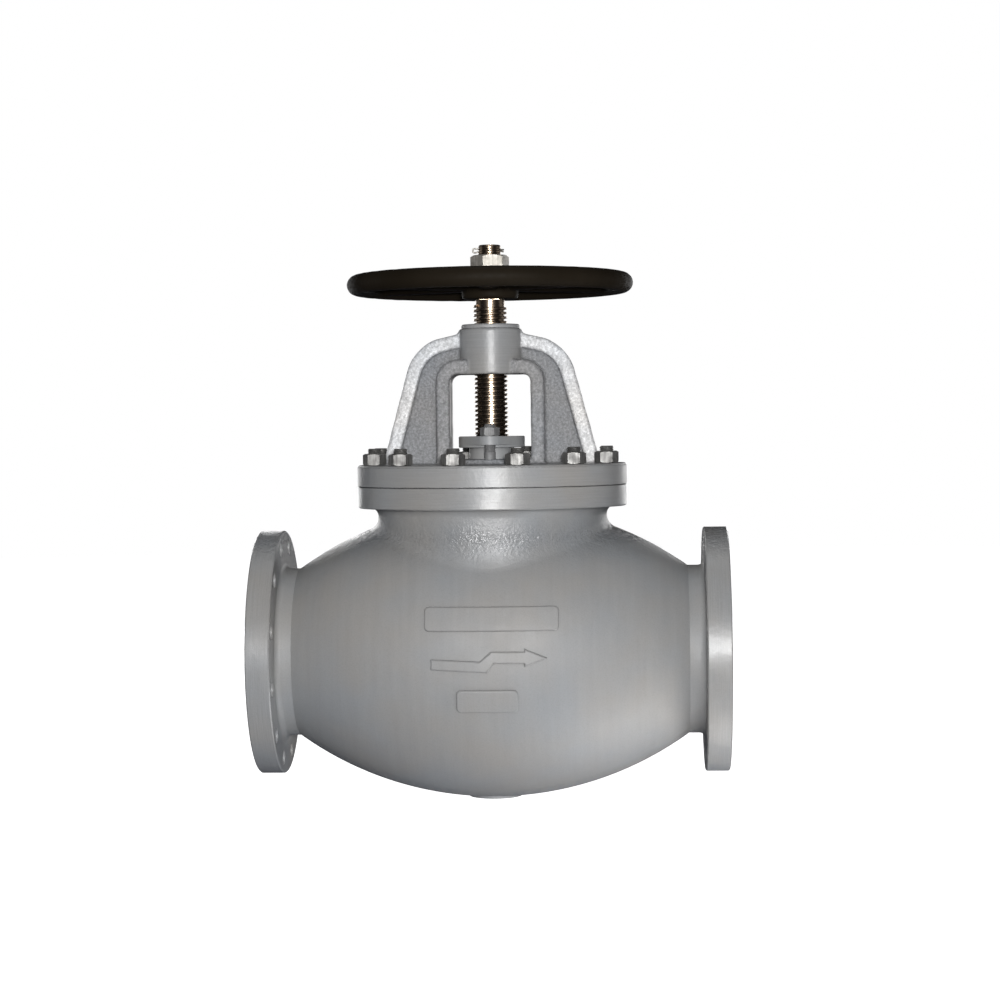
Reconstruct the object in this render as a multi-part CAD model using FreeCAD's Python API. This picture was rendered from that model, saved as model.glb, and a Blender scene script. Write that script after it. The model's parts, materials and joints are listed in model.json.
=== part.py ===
import FreeCAD, Part
import math
import os
from FreeCAD import Vector as V

# Globe valve DN 250: flanged body, bolted bonnet with yoke, rising stem and rising handwheel.
# Millimetres. Every shape is built about the stem axis (x = 0) and the pipe axis (z = 0), and
# saved with the inlet flange face on x = 0. X is the flow, Z the stem, -Y the front.

# ---- driving dimensions ----
FACE_TO_FACE = 830.0
BORE = 250.0
FLANGE_D = 430.0
FLANGE_T = 44.0
RAISED_D = 345.0
RAISED_T = 2.0
FLANGE_PCD = 380.0
FLANGE_HOLE_D = 27.0
FLANGE_HOLES = 12

BARREL_R = 258.0
BARREL_ARC_R = 590.0
END_NECK_R = 148.0
WALL = 18.0
FOOT_R = 46.0
FOOT_Z = -258.5
MARK_RELIEF = 3.5
MARK_ROUND_R = 3.0

NECK_R = 202.0
NECK_BORE_R = 181.0
FLARE_R = 112.0
FLARE_Z = 190.0
FLARE_DEG = 33.0
NECK_BLEND_R = 24.0
NECK_BLEND_Z = 235.0
BODY_FLANGE_R = 237.0
BODY_FLANGE_Z0 = 255.0
BODY_FLANGE_Z1 = 292.0
BONNET_R = 238.0
BONNET_Z0 = 293.0
BONNET_Z1 = 330.0
GASKET_R = 196.0
GASKET_Z0 = 289.0
BONNET_PCD_R = 210.0
BONNET_BOLTS = 12
BONNET_STUD_R = 12.0
BONNET_NUT_S = 36.0
BONNET_NUT_H = 20.5
BONNET_STUD_Z0 = 262.0
BONNET_STUD_Z1 = 359.5

BRIDGE_T = 32.0
SEAT_R = 140.0
SEAT_LEDGE_R = 134.0
SEAT_Z0 = 6.0
SEAT_Z1 = 40.0

BOX_R = 40.0
BOX_TUBE_R = 65.0
BOX_Z0 = 219.0
BOX_Z1 = 339.0
BOX_BOSS_R = 80.0
BACK_SEAT_R = 48.0
BACK_SEAT_Z1 = 245.0
SEAT_RING_Z1 = 251.0
PACKING_Z1 = 301.0
PACKING_RINGS = 5
GLAND_FLANGE_Z0 = 359.0
GLAND_EAR_Z0 = 364.0
GLAND_Z1 = 379.0
GLAND_R = 58.5
GLAND_EAR_R = 22.0
GLAND_STUD_Y = 62.0
GLAND_STUD_R = 10.0
GLAND_STUD_Z0 = 305.0
GLAND_STUD_Z1 = 400.0
GLAND_NUT_S = 30.0
GLAND_NUT_H = 16.0

YOKE_WINDOW_X = 71.0
YOKE_WINDOW_Z = 488.0
YOKE_INNER_T = 24.0
YOKE_INNER_Y = 42.0
YOKE_RIB_T = 24.0
YOKE_RIB_Y0 = 26.0
YOKE_RIB_Y1 = 14.0
YOKE_WEB_Y = 9.0
YOKE_FOOT_X = 192.0
YOKE_LEAN_DEG = 15.1
YOKE_BEND_DEG = 13.0
YOKE_SHOULDER_DEG = 70.6
YOKE_BEND_X = 67.3
YOKE_BEND_Z = 472.4
YOKE_BEND_R = 83.3
YOKE_TOP_Z = 562.0
YOKE_ROOT_R = 9.0
BOSS_R = 55.0
BOSS_Z1 = 569.0
BUSH_R = 42.0
BUSH_HEAD_R = 51.5
BUSH_Z1 = 576.0

DISC_R = 145.0
DISC_Z0 = 40.1
DISC_Z1 = 80.0
DISC_HUB_R = 65.0
DISC_HUB_Z1 = 130.0
WING_R = 124.4
WING_Z0 = -20.0
WING_T = 14.0
PAD_R = 41.5
PAD_Z0 = 82.0
DISC_NUT_R = 50.0
DISC_NUT_Z0 = 104.3
DISC_NUT_S = 90.0
DISC_NUT_Z1 = 142.0

STEM_R = 30.0
STEM_Z0 = 88.0
STEM_HEAD_R = 40.0
STEM_HEAD_Z1 = 104.0
BACK_CONE_R = 38.0
BACK_CONE_Z0 = 143.5
BACK_CONE_Z1 = 146.0
THREAD_Z0 = 380.0
THREAD_Z1 = 619.0
THREAD_PITCH = 8.0
THREAD_ROOT_R = 25.6
THREAD_CREST_R = 29.8
THREAD_ROOT_W = 5.3
THREAD_CREST_W = 2.8
SQUARE_S = 42.0
SQUARE_Z1 = 661.0
STEM_END_R = 19.5
STEM_Z1 = 716.0
RUNNING_GAP = 0.5

WHEEL_R = 235.0
WHEEL_RIM_R = 17.5
WHEEL_Z = 647.0
WHEEL_ARMS = 6
WHEEL_HUB_R = 50.0
WHEEL_HUB_Z0 = 620.0
WHEEL_HUB_Z1 = 663.0
WASHER_R = 36.0
WASHER_T = 4.0
WHEEL_NUT_S = 60.0
WHEEL_NUT_H = 31.0
PIN_Z = 706.5
PIN_R = 2.8

X = V(1, 0, 0)
Y = V(0, 1, 0)
Z = V(0, 0, 1)
ORIGIN = V(0, 0, 0)

os.makedirs("parts", exist_ok=True)


def save(name, shape):
    """Move the inlet flange face to x = 0 and write one sub-part."""
    placed = shape.copy()
    placed.translate(V(FACE_TO_FACE / 2, 0, 0))
    placed.exportStep("parts/" + name + ".step")


def outline(start, *steps):
    """Closed XZ face: a step is a point, or a pair (arc centre, end point)."""
    edges = []
    here = V(start[0], 0, start[1])
    for step in steps + (start,):
        if isinstance(step[0], tuple):
            centre = V(step[0][0], 0, step[0][1])
            end = V(step[1][0], 0, step[1][1])
            radius = here.sub(centre)
            towards = radius.add(end.sub(centre)).normalize().multiply(radius.Length)
            edges.append(Part.Arc(here, centre.add(towards), end).toShape())
        else:
            end = V(step[0], 0, step[1])
            if end != here:
                edges.append(Part.makeLine(here, end))
        here = end
    return Part.Face(Part.Wire(edges))


def turned(start, *steps, axis=Z):
    """Solid of revolution of an outline."""
    return outline(start, *steps).revolve(ORIGIN, axis, 360)


def slab(face, half):
    """XZ face made into a plate from -half to +half in Y."""
    plate = face.extrude(V(0, 2 * half, 0))
    plate.translate(V(0, -half, 0))
    return plate


def cyl(radius, z0, z1, x=0.0, y=0.0):
    return Part.makeCylinder(radius, z1 - z0, V(x, y, z0))


def ring(inner, outer, z0, z1, chamfer=0.0):
    """Ring about the stem axis with chamfered outer edges."""
    c = chamfer
    if c == 0:
        return turned((inner, z0), (outer, z0), (outer, z1), (inner, z1))
    return turned((inner, z0), (outer - c, z0), (outer, z0 + c), (outer, z1 - c),
                  (outer - c, z1), (inner, z1))


def on_circle(radius, count, first_deg):
    """Points spaced evenly on a circle about the stem axis."""
    for i in range(count):
        angle = math.radians(first_deg + i * 360.0 / count)
        yield radius * math.cos(angle), radius * math.sin(angle)


def hexagon(across_flats, z0, z1, turn_deg=0.0):
    """Hexagonal prism; with turn 0 its flats face front and back."""
    corner = across_flats / math.sqrt(3)
    points = []
    for i in range(7):
        angle = math.radians(60 * i + turn_deg)
        points.append(V(corner * math.cos(angle), corner * math.sin(angle), z0))
    return Part.Face(Part.makePolygon(points)).extrude(V(0, 0, z1 - z0))


def nut(across_flats, height, hole_r, turn_deg=0.0):
    """Plain hexagon nut standing on z = 0, with its top corners turned off at 30 degrees."""
    corner = across_flats / math.sqrt(3)
    flat = across_flats / 2
    drop = (corner - flat + 1.0) * math.tan(math.radians(30))
    crown = turned((0, 0), (flat - 1, 0), (corner, drop), (corner, height - drop),
                   (flat - 1, height), (0, height))
    return hexagon(across_flats, 0, height, turn_deg).common(crown).cut(cyl(hole_r, -1, height + 1))


def stud(radius, z0, z1, chamfer=2.0):
    return turned((0, z0), (radius - chamfer, z0), (radius, z0 + chamfer),
                  (radius, z1 - chamfer), (radius - chamfer, z1), (0, z1))


def copies(shape, places):
    """One compound with a copy of the shape at each place."""
    solids = []
    for x, y in places:
        one = shape.copy()
        one.translate(V(x, y, 0))
        solids.append(one)
    return Part.makeCompound(solids)


def helical_ridge(root_r, crest_r, root_w, crest_w, z0, turns):
    """Right-hand trapezoidal thread ridge, slightly sunk into its core."""
    helix = Part.Wire(Part.makeHelix(THREAD_PITCH, turns * THREAD_PITCH, root_r).Edges)
    section = Part.makePolygon([V(root_r, 0, -root_w / 2), V(crest_r, 0, -crest_w / 2),
                                V(crest_r, 0, crest_w / 2), V(root_r, 0, root_w / 2),
                                V(root_r, 0, -root_w / 2)])
    sweep = Part.BRepOffsetAPI.MakePipeShell(helix)
    sweep.setBiNormalMode(Z)
    sweep.add(Part.Wire(section.Edges))
    sweep.build()
    sweep.makeSolid()
    ridge = sweep.shape()
    ridge.translate(V(0, 0, z0))
    return ridge


def filleted(shape, radius, chosen):
    """Fillet the edges for which chosen(edge) is true."""
    edges = [e for e in shape.Edges if chosen(e)]
    return shape.makeFillet(radius, edges)


# ---- body ----
BODY_END = FACE_TO_FACE / 2
BARREL_END = math.sqrt(BARREL_ARC_R ** 2 - (END_NECK_R + BARREL_ARC_R - BARREL_R) ** 2)
BARREL_CENTRE = (0.0, BARREL_R - BARREL_ARC_R)


def barrel(grow):
    """Swollen middle of the body, offset by grow, with a straight length to each flange."""
    end_r = END_NECK_R + grow
    arc_r = BARREL_ARC_R + grow
    end_x = math.sqrt(arc_r ** 2 - (end_r - BARREL_CENTRE[1]) ** 2)
    return turned((-BODY_END, 0), (-BODY_END, end_r), (-end_x, end_r),
                  (BARREL_CENTRE, (end_x, end_r)), (BODY_END, end_r), (BODY_END, 0), axis=X)


def end_flange():
    """Right-hand flange with raised face, rim chamfers and a fillet to the barrel."""
    rim = FLANGE_D / 2
    face = BODY_END - RAISED_T
    back = BODY_END - FLANGE_T
    fillet = 10.0
    flange = turned((back - fillet, 0), (back - fillet, END_NECK_R),
                    ((back - fillet, END_NECK_R + fillet), (back, END_NECK_R + fillet)),
                    (back, rim - 2), (back + 2, rim), (face - 2, rim), (face, rim - 2),
                    (face, RAISED_D / 2), (BODY_END, RAISED_D / 2), (BODY_END, 0), axis=X)
    for y, z in on_circle(FLANGE_PCD / 2, FLANGE_HOLES, 15):
        hole = Part.makeCylinder(FLANGE_HOLE_D / 2, FLANGE_T + 2, V(back - 1, y, z), X)
        flange = flange.cut(hole)
    return flange


def neck():
    """Upright neck, flared where it runs into the barrel, with the body flange."""
    top = BODY_FLANGE_Z1
    under = BODY_FLANGE_Z0
    fillet = 15.0
    flare = math.radians(FLARE_DEG)
    low = FLARE_Z - FLARE_R * math.sin(flare)
    wide = NECK_R + FLARE_R * (1 - math.cos(flare))
    return turned((0, low), (wide, low), ((NECK_R + FLARE_R, FLARE_Z), (NECK_R, FLARE_Z)),
                  (NECK_R, under - fillet),
                  ((NECK_R + fillet, under - fillet), (NECK_R + fillet, under)),
                  (BODY_FLANGE_R - 2, under), (BODY_FLANGE_R, under + 2),
                  (BODY_FLANGE_R, top - 1), (BODY_FLANGE_R - 1, top), (0, top))


def partition():
    """S-shaped wall: up from the bridge on the inlet side, down on the outlet side."""
    bridge_x = 172.0
    wall_x = 345.0
    wall_z = 165.0
    lean = 22.0
    shift = 12.0
    section = outline((-wall_x, wall_z - lean), (-bridge_x, 0), (bridge_x, 0),
                      (wall_x - lean, -wall_z - lean), (wall_x, -wall_z),
                      (bridge_x + shift, BRIDGE_T), (shift - bridge_x, BRIDGE_T),
                      (lean - wall_x, wall_z + lean))
    wall = slab(section, BARREL_R)
    return wall.cut(cyl(SEAT_R, SEAT_Z0, BRIDGE_T + 1)).cut(cyl(SEAT_LEDGE_R, -1, SEAT_Z0 + 1))


def raised_on_front(flat, height):
    """Raised cast mark with rounded edges: a flat XZ shape carried onto the front of the barrel."""
    skin = barrel(height)
    arc_r = BARREL_ARC_R + height

    def on_skin(point):
        radius = math.sqrt(arc_r ** 2 - point.x ** 2) + BARREL_CENTRE[1]
        return abs(math.hypot(point.y, point.z) - radius) < 0.01

    mark = flat.extrude(V(0, -BARREL_R - height - 1, 0)).common(skin).cut(barrel(-WALL / 2))
    return filleted(mark, MARK_ROUND_R, lambda e: all(on_skin(v.Point) for v in e.Vertexes))


def flow_arrow():
    """Stepped arrow: under the seat, over it, and out to the right."""
    return Part.Face(Part.makePolygon([V(x, 0, z) for x, z in (
        (-93, 7), (-10, 3.5), (8, 20), (64, 19.5), (64, 24.5), (103, 8), (64, -6.5), (64, -1.5),
        (13, -0.5), (2, -16), (-93, -11), (-93, 7))]))


def plaque(x0, x1, z0, z1):
    """Blank rounded rectangle."""
    c = 8.0
    return outline((x0 + c, z0), (x1 - c, z0), ((x1 - c, z0 + c), (x1, z0 + c)), (x1, z1 - c),
                   ((x1 - c, z1 - c), (x1 - c, z1)), (x0 + c, z1),
                   ((x0 + c, z1 - c), (x0, z1 - c)), (x0, z0 + c),
                   ((x0 + c, z0 + c), (x0 + c, z0)))


def body_casting():
    outer = barrel(0).fuse(neck()).removeSplitter()

    def joins_neck(edge):
        box = edge.BoundBox
        around = box.ZLength > 30 and box.YLength > 30
        return around and BRIDGE_T < box.ZMin and box.ZMax < NECK_BLEND_Z

    outer = filleted(outer, NECK_BLEND_R, joins_neck)
    right = end_flange()
    left = right.mirror(ORIGIN, X)
    foot = cyl(FOOT_R, FOOT_Z, -BARREL_R + 30)
    outer = outer.fuse([right, left, foot])
    for mark in (flow_arrow(), plaque(-104, 122, 53, 94), plaque(-51, 53, -84, -45)):
        outer = outer.fuse(raised_on_front(mark, MARK_RELIEF))
    waterway = barrel(-WALL).fuse(Part.makeCylinder(BORE / 2, FACE_TO_FACE + 2,
                                                    V(-BODY_END - 1, 0, 0), X))
    waterway = waterway.common(Part.makeBox(FACE_TO_FACE + 4, 600, 600, V(-BODY_END - 2, -300, -300)))
    hollow = waterway.fuse(cyl(NECK_BORE_R, BRIDGE_T + 20, BODY_FLANGE_Z1 + 1))
    hollow = hollow.cut(partition())
    body = outer.cut(hollow)
    body = body.cut(cyl(GASKET_R, GASKET_Z0, BODY_FLANGE_Z1 + 1))
    for x, y in on_circle(BONNET_PCD_R, BONNET_BOLTS, 15):
        body = body.cut(cyl(BONNET_STUD_R, BONNET_STUD_Z0, BODY_FLANGE_Z1 + 1, x, y))
    return body


# ---- bonnet and yoke ----
def yoke_rib_side(offset):
    """Points along the outer rib of the right arm, moved inwards by offset."""
    centre = (YOKE_BEND_X, YOKE_BEND_Z)
    bend_r = YOKE_BEND_R - offset

    def on_bend(degrees):
        angle = math.radians(degrees)
        return centre[0] + bend_r * math.cos(angle), centre[1] + bend_r * math.sin(angle)

    lean = math.radians(YOKE_LEAN_DEG)
    foot = (YOKE_FOOT_X - offset / math.cos(lean), BONNET_Z1 - 1)
    end = (BOSS_R - 10, YOKE_TOP_Z - offset)
    return foot, on_bend(YOKE_BEND_DEG), centre, on_bend(YOKE_SHOULDER_DEG), end


def outer_rib():
    """Outer flange of the right arm, from the bonnet round to the boss."""
    foot, low, centre, high, end = yoke_rib_side(0)
    in_foot, in_low, _, in_high, in_end = yoke_rib_side(YOKE_RIB_T)
    face = outline(foot, low, (centre, high), end, in_end, in_high, (centre, in_low), in_foot)
    rib = slab(face, YOKE_RIB_Y0)
    rib = filleted(rib, 5.0, lambda e: e.BoundBox.YLength < 1 and e.Length > 60)
    taper = Part.Face(Part.makePolygon([
        V(0, -YOKE_RIB_Y0, BONNET_Z1 - 1), V(0, YOKE_RIB_Y0, BONNET_Z1 - 1),
        V(0, YOKE_RIB_Y1, YOKE_TOP_Z + 10), V(0, -YOKE_RIB_Y1, YOKE_TOP_Z + 10),
        V(0, -YOKE_RIB_Y0, BONNET_Z1 - 1)])).extrude(V(300, 0, 0))
    return rib.common(taper)


def rib_root():
    """Cast fillet where the outer flange of the right arm meets the boss."""
    low = YOKE_TOP_Z - 4
    wide = BOSS_R + YOKE_ROOT_R
    top = low + YOKE_ROOT_R
    return slab(outline((BOSS_R - 8, low - 8), (wide, low - 8), (wide, low),
                        ((wide, top), (BOSS_R, top)), (BOSS_R - 8, top)), YOKE_RIB_Y1)


def yoke_web():
    """Thin wall of the right arm between its two flanges."""
    foot, low, centre, high, end = yoke_rib_side(YOKE_RIB_T / 2)
    inner_x = YOKE_WINDOW_X + YOKE_INNER_T / 2
    inner_z = YOKE_WINDOW_Z + YOKE_INNER_T / 2
    return slab(outline(foot, low, (centre, high), end, (end[0], inner_z), (inner_x - 20, inner_z),
                        (inner_x, inner_z - 20), (inner_x, BONNET_Z1 - 1)), YOKE_WEB_Y)


def window_frame():
    """Inner flange: an inverted U round the stem opening."""
    x1 = YOKE_WINDOW_X
    z1 = YOKE_WINDOW_Z
    x2 = x1 + YOKE_INNER_T
    z2 = z1 + YOKE_INNER_T + 1
    r1 = 14.0
    r2 = 38.0
    base = BONNET_Z1 - 1
    frame = slab(outline((x2, base), (x2, z2 - r2), ((x2 - r2, z2 - r2), (x2 - r2, z2)),
                         (r2 - x2, z2), ((r2 - x2, z2 - r2), (-x2, z2 - r2)), (-x2, base),
                         (-x1, base), (-x1, z1 - r1), ((r1 - x1, z1 - r1), (r1 - x1, z1)),
                         (x1 - r1, z1), ((x1 - r1, z1 - r1), (x1, z1 - r1)), (x1, base)),
                 YOKE_INNER_Y)
    return filleted(frame, 3.0, lambda e: e.BoundBox.YLength < 1 and e.BoundBox.ZMin > base - 0.5
                    and e.Length > 15)


def bonnet_casting():
    plate = turned((0, BONNET_Z0 - 8), (NECK_BORE_R - 2, BONNET_Z0 - 8),
                   (NECK_BORE_R - 2, BONNET_Z0), (BONNET_R - 1, BONNET_Z0),
                   (BONNET_R, BONNET_Z0 + 1), (BONNET_R, BONNET_Z1 - 3),
                   (BONNET_R - 3, BONNET_Z1), (BOX_BOSS_R + 4, BONNET_Z1),
                   ((BOX_BOSS_R + 4, BONNET_Z1 + 4), (BOX_BOSS_R, BONNET_Z1 + 4)),
                   (BOX_BOSS_R, BOX_Z1 - 2), (BOX_BOSS_R - 2, BOX_Z1), (0, BOX_Z1))
    tube = turned((0, BOX_Z0 + 1), (BOX_TUBE_R - 3, BOX_Z0 + 1), (BOX_TUBE_R, BOX_Z0 + 4),
                  (BOX_TUBE_R, BONNET_Z0 - 23),
                  ((BOX_TUBE_R + 15, BONNET_Z0 - 23), (BOX_TUBE_R + 15, BONNET_Z0 - 8)),
                  (BOX_TUBE_R + 15, BONNET_Z0), (0, BONNET_Z0))
    boss = turned((0, YOKE_WINDOW_Z), (BOSS_R, YOKE_WINDOW_Z), (BOSS_R, BOSS_Z1 - 3),
                  (BOSS_R - 3, BOSS_Z1), (0, BOSS_Z1))
    yoke = window_frame().fuse(boss)
    for piece in (outer_rib(), rib_root(), yoke_web()):
        yoke = yoke.fuse([piece, piece.mirror(ORIGIN, X)])
    bonnet = plate.fuse([tube, yoke]).removeSplitter()
    bonnet = bonnet.cut(cyl(BOX_R, BOX_Z0, BOX_Z1 + 1))
    bonnet = bonnet.cut(cyl(BACK_SEAT_R, BOX_Z0, BACK_SEAT_Z1))
    bonnet = bonnet.cut(cyl(BUSH_R, YOKE_WINDOW_Z - 1, BOSS_Z1 + 1))
    bonnet = bonnet.cut(lock_screw())
    for x, y in on_circle(BONNET_PCD_R, BONNET_BOLTS, 15):
        bonnet = bonnet.cut(cyl(BONNET_STUD_R + 1, BONNET_Z0 - 1, BONNET_Z1 + 1, x, y))
    for y in (-GLAND_STUD_Y, GLAND_STUD_Y):
        bonnet = bonnet.cut(cyl(GLAND_STUD_R, GLAND_STUD_Z0, BOX_Z1 + 1, 0, y))
    return bonnet


def lock_screw():
    """Set screw through the back of the yoke boss into the bush."""
    return Part.makeCylinder(5, BOSS_R - BUSH_R + 3.5, V(0, BUSH_R - 3, YOKE_WINDOW_Z + 45), Y)


def yoke_bush():
    """Threaded bush with a head on top of the yoke boss."""
    bush = turned((0, YOKE_WINDOW_Z), (BUSH_R, YOKE_WINDOW_Z), (BUSH_R, BOSS_Z1),
                  (BUSH_HEAD_R, BOSS_Z1), (BUSH_HEAD_R, BUSH_Z1 - 2),
                  (BUSH_HEAD_R - 2, BUSH_Z1), (0, BUSH_Z1))
    skipped = math.floor((YOKE_WINDOW_Z - THREAD_Z0) / THREAD_PITCH) - 1
    turns = math.ceil((BUSH_Z1 - YOKE_WINDOW_Z) / THREAD_PITCH) + 3
    groove = helical_ridge(THREAD_ROOT_R, THREAD_CREST_R + RUNNING_GAP,
                           THREAD_ROOT_W + 2 * RUNNING_GAP, THREAD_CREST_W + 2 * RUNNING_GAP,
                           THREAD_Z0 + (skipped - 1) * THREAD_PITCH, turns)
    core = cyl(THREAD_ROOT_R + RUNNING_GAP, YOKE_WINDOW_Z - 10, BUSH_Z1 + 10)
    return bush.cut(core.fuse(groove)).cut(lock_screw())


# ---- stuffing box ----
def packing_gland():
    """Gland tube with its oval flange."""
    gap_r = STEM_R + RUNNING_GAP
    tube = ring(gap_r, BOX_R - 0.3, PACKING_Z1, GLAND_FLANGE_Z0 + 1)
    middle = ring(gap_r, GLAND_R, GLAND_FLANGE_Z0, GLAND_Z1, 1.5)
    lean = math.asin((GLAND_R - GLAND_EAR_R) / GLAND_STUD_Y)
    wide = (GLAND_R * math.cos(lean), GLAND_R * math.sin(lean))
    thin = (GLAND_EAR_R * math.cos(lean), GLAND_STUD_Y + GLAND_EAR_R * math.sin(lean))
    flank = Part.Face(Part.makePolygon([
        V(wide[0], wide[1], GLAND_EAR_Z0), V(thin[0], thin[1], GLAND_EAR_Z0),
        V(-thin[0], thin[1], GLAND_EAR_Z0), V(-wide[0], wide[1], GLAND_EAR_Z0),
        V(-wide[0], -wide[1], GLAND_EAR_Z0), V(-thin[0], -thin[1], GLAND_EAR_Z0),
        V(thin[0], -thin[1], GLAND_EAR_Z0), V(wide[0], -wide[1], GLAND_EAR_Z0),
        V(wide[0], wide[1], GLAND_EAR_Z0)])).extrude(V(0, 0, GLAND_Z1 - GLAND_EAR_Z0))
    ears = [cyl(GLAND_EAR_R, GLAND_EAR_Z0, GLAND_Z1, 0, y) for y in (-GLAND_STUD_Y, GLAND_STUD_Y)]
    gland = middle.fuse([flank] + ears).removeSplitter()
    gland = gland.fuse(tube).cut(cyl(gap_r, PACKING_Z1 - 1, GLAND_Z1 + 1))
    for y in (-GLAND_STUD_Y, GLAND_STUD_Y):
        gland = gland.cut(cyl(GLAND_STUD_R + 1, GLAND_EAR_Z0 - 10, GLAND_Z1 + 1, 0, y))
    return gland


def back_seat_bush():
    """Bush whose coned lower edge meets the stem shoulder when the valve is fully open."""
    bore = STEM_R + RUNNING_GAP
    return turned((BACK_CONE_R, BOX_Z0), (BACK_SEAT_R, BOX_Z0), (BACK_SEAT_R, BACK_SEAT_Z1),
                  (bore, BACK_SEAT_Z1), (bore, BOX_Z0 + BACK_CONE_R - bore))


def packing_rings():
    height = (PACKING_Z1 - SEAT_RING_Z1) / PACKING_RINGS
    rings = []
    for i in range(PACKING_RINGS):
        z0 = SEAT_RING_Z1 + i * height
        rings.append(ring(STEM_R + RUNNING_GAP, BOX_R, z0, z0 + height, 0.8))
    return Part.makeCompound(rings)


# ---- disc ----
def disc_socket_screw():
    """Set screw through the disc hub into the disc nut."""
    return Part.makeCylinder(4, DISC_HUB_R - DISC_NUT_R + 2, V(DISC_NUT_R - 2, 0, 118), X)


def disc():
    """Plug disc with a socket for the stem head and four guide wings below."""
    plug = turned((0, DISC_Z0), (DISC_R, DISC_Z0), (DISC_R, DISC_Z1 - 8),
                  (DISC_R - 8, DISC_Z1), (DISC_HUB_R + 10, DISC_Z1),
                  ((DISC_HUB_R + 10, DISC_Z1 + 10), (DISC_HUB_R, DISC_Z1 + 10)),
                  (DISC_HUB_R, DISC_HUB_Z1 - 3), (DISC_HUB_R - 3, DISC_HUB_Z1), (0, DISC_HUB_Z1))
    guide = cyl(WING_R, WING_Z0, DISC_Z0 + 1)
    cross = Part.makeBox(2 * WING_R, WING_T, DISC_Z0 + 1 - WING_Z0, V(-WING_R, -WING_T / 2, WING_Z0))
    turned_cross = cross.copy()
    turned_cross.rotate(ORIGIN, Z, 90)
    wings = cross.fuse([turned_cross, cyl(30, WING_Z0, DISC_Z0 + 1)]).common(guide)
    solid = plug.fuse(wings)
    solid = solid.cut(cyl(PAD_R, PAD_Z0, DISC_NUT_Z0 + 1))
    solid = solid.cut(cyl(DISC_NUT_R, DISC_NUT_Z0, DISC_HUB_Z1 + 1))
    return solid.cut(disc_socket_screw())


def disc_nut():
    """Ring screwed into the hub over the stem head, with a hexagon to turn it."""
    flange = cyl(DISC_NUT_R, DISC_NUT_Z0, DISC_HUB_Z1)
    head = hexagon(DISC_NUT_S, DISC_HUB_Z1, DISC_NUT_Z1)
    return flange.fuse(head).cut(cyl(STEM_R + 1.5, DISC_NUT_Z0 - 1, DISC_NUT_Z1 + 1)).cut(
        disc_socket_screw())


# ---- stem and handwheel ----
def stem():
    smooth_z1 = THREAD_Z0 - 2
    shaft = turned((0, STEM_Z0), (STEM_HEAD_R - 2, STEM_Z0), (STEM_HEAD_R, STEM_Z0 + 2),
                   (STEM_HEAD_R, STEM_HEAD_Z1), (STEM_R, STEM_HEAD_Z1), (STEM_R, BACK_CONE_Z0),
                   (BACK_CONE_R, BACK_CONE_Z0), (BACK_CONE_R, BACK_CONE_Z1),
                   (STEM_R, BACK_CONE_Z1 + BACK_CONE_R - STEM_R), (STEM_R, smooth_z1),
                   (THREAD_ROOT_R, smooth_z1 + STEM_R - THREAD_ROOT_R),
                   (THREAD_ROOT_R, THREAD_Z1), (STEM_END_R, THREAD_Z1), (STEM_END_R, STEM_Z1 - 2),
                   (STEM_END_R - 2, STEM_Z1), (0, STEM_Z1))
    side = SQUARE_S / 2
    square = Part.makeBox(SQUARE_S, SQUARE_S, SQUARE_Z1 - THREAD_Z1, V(-side, -side, THREAD_Z1))
    square = square.common(cyl(THREAD_ROOT_R + 1.4, THREAD_Z1, SQUARE_Z1))
    turns = math.floor((THREAD_Z1 - THREAD_Z0) / THREAD_PITCH) + 0.6
    ridge = helical_ridge(THREAD_ROOT_R - 0.3, THREAD_CREST_R, THREAD_ROOT_W, THREAD_CREST_W,
                          THREAD_Z0 - THREAD_PITCH, turns)
    pin_hole = Part.makeCylinder(PIN_R + 0.4, 60, V(-30, 0, PIN_Z), X)
    return shaft.fuse(square).fuse(ridge).cut(pin_hole)


def handwheel():
    """Round-rimmed wheel with flat oval arms and a square hole in its hub."""
    rim = Part.makeTorus(WHEEL_R, WHEEL_RIM_R, V(0, 0, WHEEL_Z))
    hub = turned((0, WHEEL_HUB_Z0), (WHEEL_HUB_R - 5, WHEEL_HUB_Z0),
                 ((WHEEL_HUB_R - 5, WHEEL_HUB_Z0 + 5), (WHEEL_HUB_R, WHEEL_HUB_Z0 + 5)),
                 (WHEEL_HUB_R, WHEEL_HUB_Z1 - 4),
                 ((WHEEL_HUB_R - 4, WHEEL_HUB_Z1 - 4), (WHEEL_HUB_R - 4, WHEEL_HUB_Z1)),
                 (0, WHEEL_HUB_Z1))
    wide = 18.0
    thin = 13.0
    half = 9.0
    root = V(30, 0, 0)
    plan = Part.makePolygon([V(root.x, -wide, 0), V(WHEEL_R, -thin, 0), V(WHEEL_R, thin, 0),
                             V(root.x, wide, 0), V(root.x, -wide, 0)])
    arm = Part.Face(plan).extrude(V(0, 0, 2 * half))
    arm = filleted(arm, 8.0, lambda e: e.Length > 150)
    arm.translate(V(0, 0, WHEEL_Z - 3 - half))
    arms = []
    for i in range(WHEEL_ARMS):
        one = arm.copy()
        one.rotate(ORIGIN, Z, 30 + i * 360.0 / WHEEL_ARMS)
        arms.append(one)
    wheel = hub.fuse([rim] + arms)
    gap = 0.25
    side = SQUARE_S / 2 + gap
    socket = Part.makeBox(2 * side, 2 * side, 60, V(-side, -side, WHEEL_HUB_Z0 - 5))
    return wheel.cut(socket)


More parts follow.
